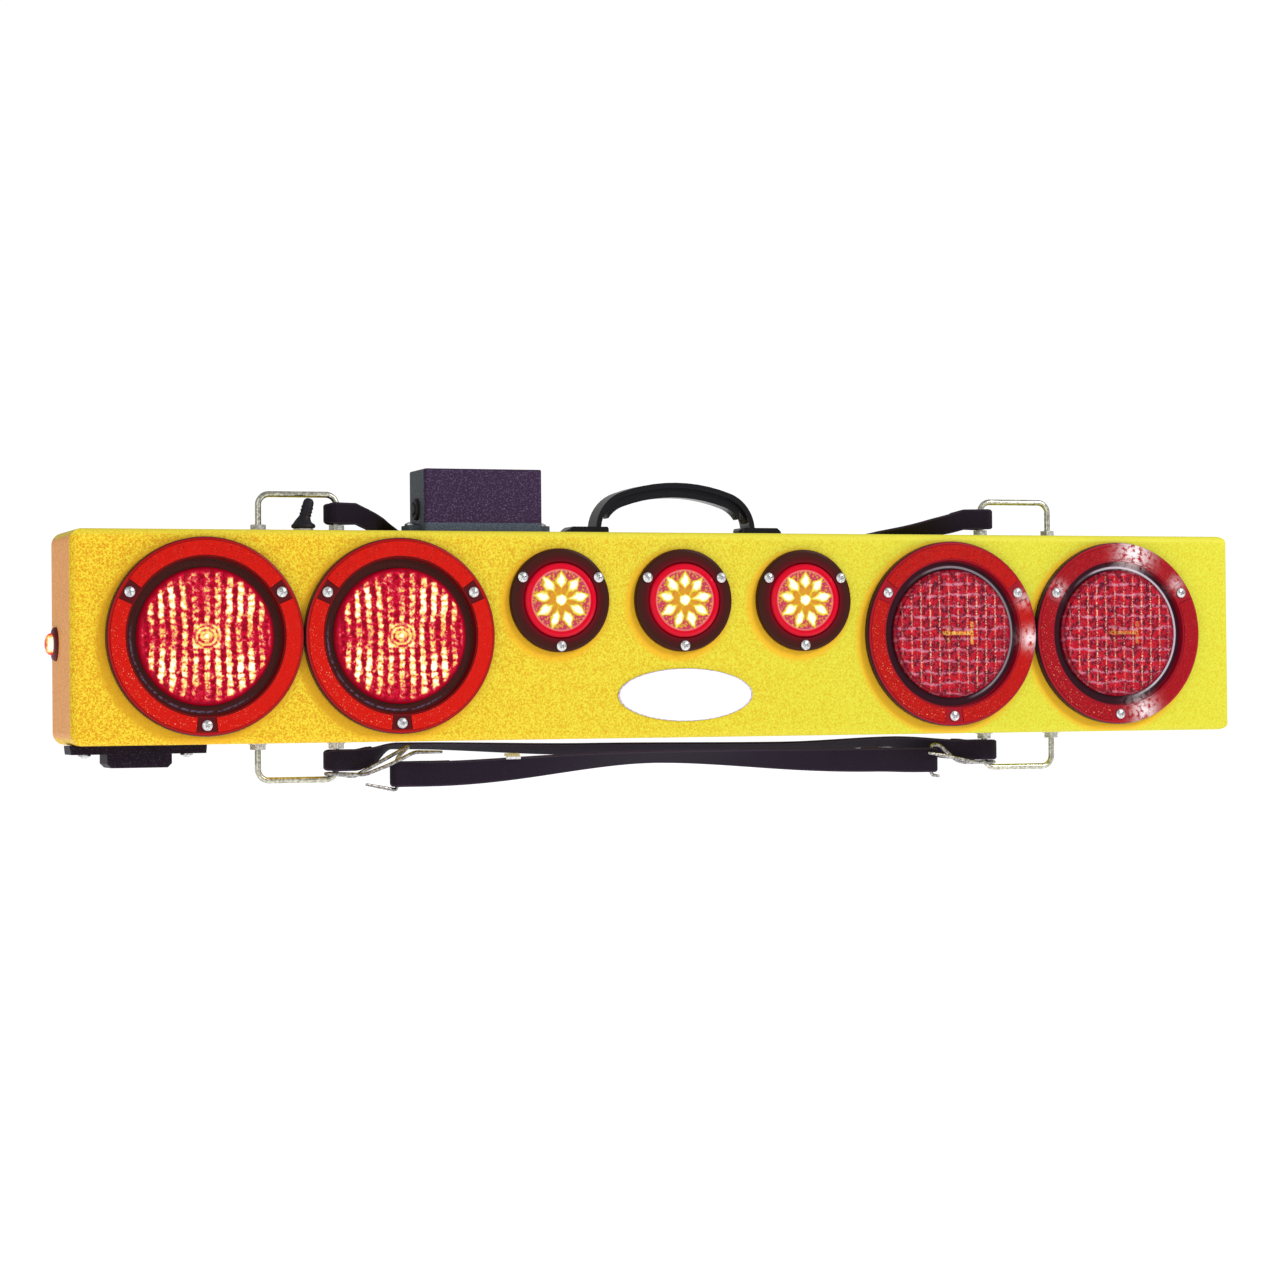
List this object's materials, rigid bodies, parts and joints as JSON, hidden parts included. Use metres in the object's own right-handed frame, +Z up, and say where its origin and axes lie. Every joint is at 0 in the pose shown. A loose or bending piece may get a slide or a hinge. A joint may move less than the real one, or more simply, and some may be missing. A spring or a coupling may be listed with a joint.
{
  "type": "trailer lighting board",
  "caption": "Yellow folded-steel trailer lighting board with round stop and tail lamps, lashing bails, webbing straps, a carry handle, a toggle switch and a receiver box",
  "frame": {"origin": "Centre of the back cover's outer face, where the board lies against what carries it.", "axes": "+X along the board to the right as seen from the front, +Y out of the back, +Z up, front towards -Y."},
  "size_m": [0.9304, 0.0876, 0.2355],
  "materials": {
    "yellow_paint": "satin",
    "bezel_plastic": "gloss",
    "reflector_red": "gloss",
    "lit_lens": "gloss",
    "red_lens": "gloss",
    "black_plastic": "matte",
    "box_plastic": "satin",
    "slate_plastic": "satin",
    "black_rubber": "matte",
    "red_rubber": "matte",
    "bright_steel": "polished",
    "zinc_steel": "satin",
    "webbing": "matte",
    "white_plate": "satin",
    "circuit_green": "satin"
  },
  "bodies": {
    "board": {"housing_shell": "yellow_paint", "back_cover": "yellow_paint", "cover_screws": "zinc_steel", "stop1_bezel": "bezel_plastic", "stop1_reflectors": "reflector_red", "stop1_lens": "lit_lens", "stop1_can": "black_plastic", "stop2_bezel": "bezel_plastic", "stop2_reflectors": "reflector_red", "stop2_lens": "lit_lens", "stop2_can": "black_plastic", "stop3_bezel": "bezel_plastic", "stop3_reflectors": "reflector_red", "stop3_lens": "red_lens", "stop3_can": "black_plastic", "stop4_bezel": "bezel_plastic", "stop4_reflectors": "reflector_red", "stop4_lens": "red_lens", "stop4_can": "black_plastic", "stop_lamp_screws": "zinc_steel", "tail1_flange": "bezel_plastic", "tail1_lens": "lit_lens", "tail1_can": "black_plastic", "tail2_flange": "bezel_plastic", "tail2_lens": "lit_lens", "tail2_can": "black_plastic", "tail3_flange": "bezel_plastic", "tail3_lens": "lit_lens", "tail3_can": "black_plastic", "tail_lamp_screws": "zinc_steel", "marker_left_lens": "lit_lens", "marker_left_grommet": "red_rubber", "marker_right_lens": "lit_lens", "marker_right_grommet": "red_rubber", "bail_top_left": "bright_steel", "bail_top_right": "bright_steel", "bail_bottom_left": "bright_steel", "bail_bottom_right": "bright_steel", "bail_nuts": "zinc_steel", "inner_nuts": "zinc_steel", "carry_handle": "black_plastic", "mounting_screws": "zinc_steel", "box_base": "slate_plastic", "box_lid": "box_plastic", "box_plug": "black_rubber", "receiver_board": "circuit_green", "toggle_body": "black_plastic", "toggle_nut": "zinc_steel", "toggle_boot": "black_rubber", "lower_block": "black_plastic", "strap_keeper": "bright_steel", "badge": "white_plate", "top_strap": "webbing", "bottom_strap": "webbing", "hook_strap": "webbing", "left_hook": "bright_steel", "right_hook": "bright_steel", "battery_pack": "black_plastic", "wiring_harness": "black_rubber"},
    "lever": {"toggle_lever": "bright_steel"}
  },
  "joints": [
    {"name": "toggle_hinge", "type": "hinge", "parent": "board", "child": "lever", "pos_m": [-0.2857, -0.0572, 0.0817], "axis": [0, 1, 0], "range_deg": [-30, 0], "deforming": ["toggle_boot"]}
  ]
}
